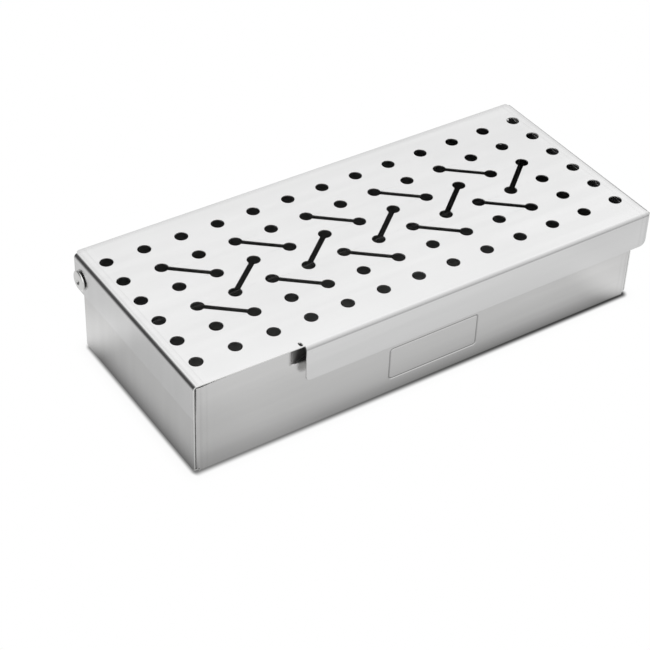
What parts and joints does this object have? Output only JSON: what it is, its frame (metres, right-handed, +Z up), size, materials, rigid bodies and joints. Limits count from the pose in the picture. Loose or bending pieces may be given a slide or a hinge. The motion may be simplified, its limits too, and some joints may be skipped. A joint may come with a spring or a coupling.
{
  "type": "grill smoker box",
  "caption": "Hinged sheet-steel smoker box: a folded tray for wood chips under a perforated lid that swings up on two rear rivets.",
  "frame": {"origin": "on the floor, below the middle of the overall outline", "axes": "+X along the length, towards the right when facing the lip; +Y from the lip at the front to the hinge at the rear; +Z up"},
  "size_m": [0.3154, 0.1394, 0.063],
  "materials": {
    "tray_steel": "brushed stainless sheet, grain along the length",
    "lid_steel": "brushed stainless sheet, grain along the length",
    "rivet_steel": "bright headed stainless rivet",
    "washer_steel": "plain stainless, dull"
  },
  "bodies": {
    "tray": {"tray": "tray_steel", "left_hinge_rivet": "rivet_steel", "right_hinge_rivet": "rivet_steel", "left_hinge_washer": "washer_steel", "right_hinge_washer": "washer_steel", "right_hinge_spacer": "washer_steel"},
    "lid": {"lid": "lid_steel"}
  },
  "joints": [
    {"name": "lid_hinge", "type": "hinge", "parent": "tray", "child": "lid", "pos_m": [0, 0.06035, 0.049], "axis": [-1, 0, 0], "range_deg": [0, 135]}
  ]
}
